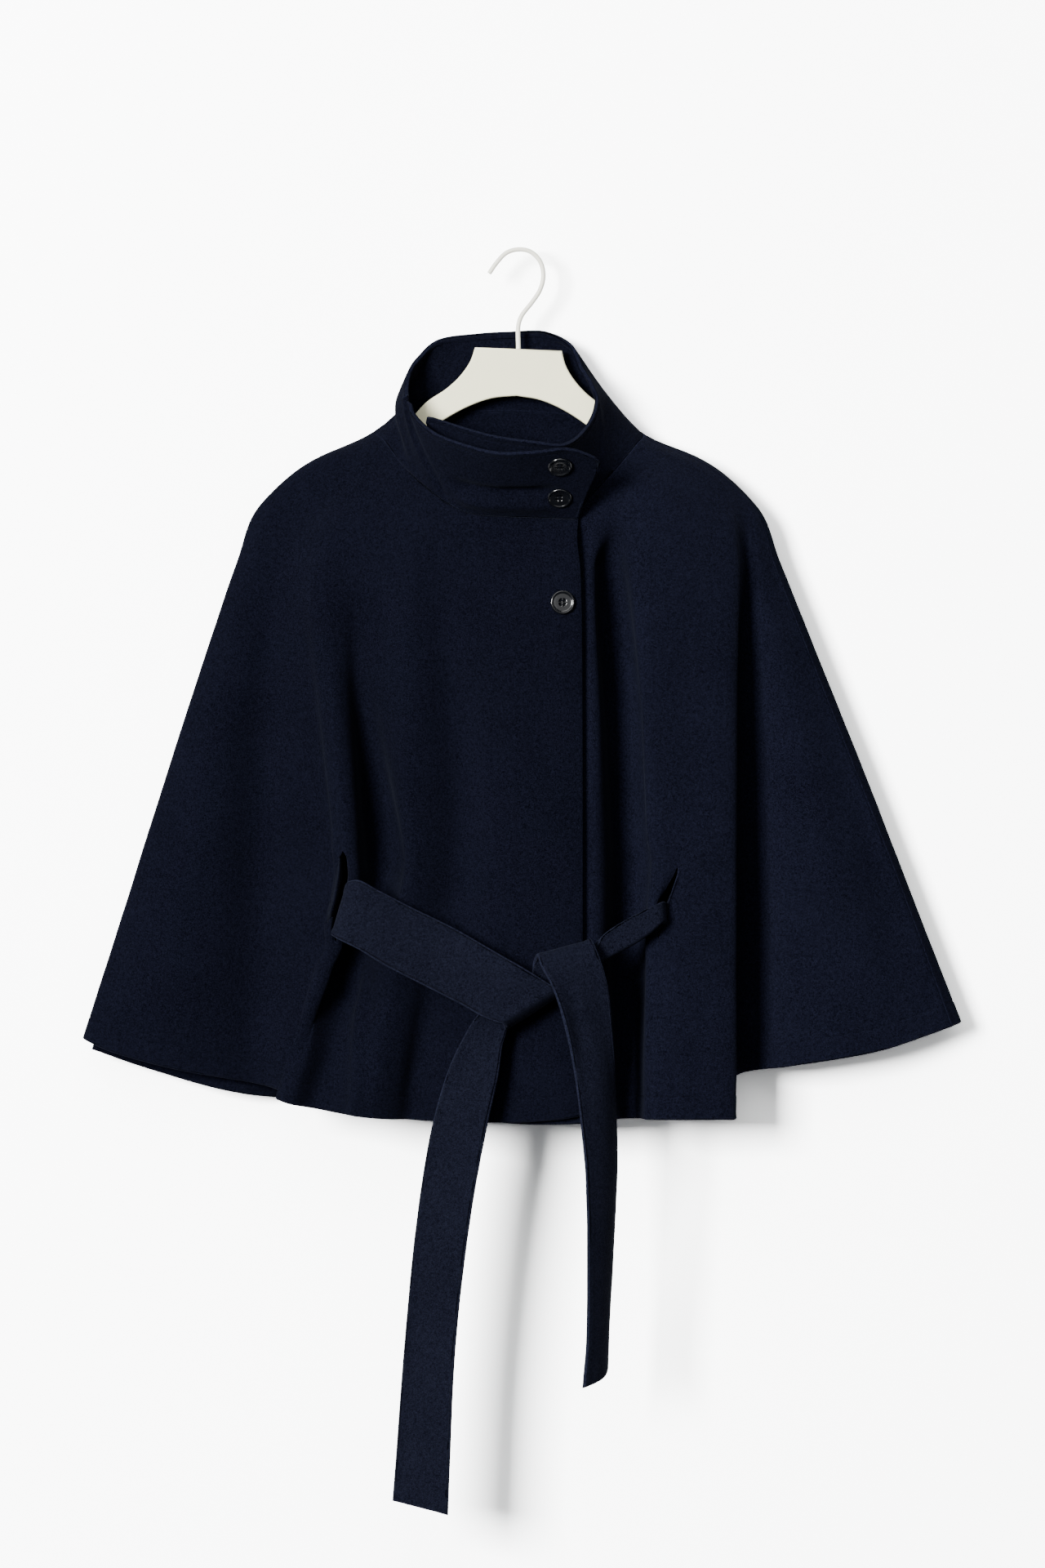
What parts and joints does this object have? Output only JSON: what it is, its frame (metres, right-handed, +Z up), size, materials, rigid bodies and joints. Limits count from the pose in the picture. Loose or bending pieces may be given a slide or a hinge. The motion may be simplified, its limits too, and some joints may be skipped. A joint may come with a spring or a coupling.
{
  "type": "wool cape coat on a hanger",
  "caption": "Short wool cape coat with a tall wrapped collar and a tied belt through slits, hanging on a flat hanger.",
  "frame": {"origin": "inside of the hook's crown, where a rail or a peg carries it", "axes": "+Z up, front of the coat faces -Y, +X to the viewer's right (the wearer's left)"},
  "size_m": [0.81, 0.137, 1.1582],
  "materials": {
    "wool": "brushed navy wool melton",
    "button": "polished dark navy",
    "hanger": "satin cream",
    "hook": "cream coated wire"
  },
  "bodies": {
    "root": {"right_front": "wool", "left_front": "wool", "back": "wool", "collar": "wool", "belt_left_run": "wool", "belt_right_run": "wool", "belt_long_tail": "wool", "belt_turn": "wool", "belt_short_tail": "wool", "belt_inside_run": "wool", "collar_button_upper": "button", "collar_button_lower": "button", "front_button": "button", "hanger_board": "hanger", "hanger_hook": "hook"}
  },
  "joints": []
}
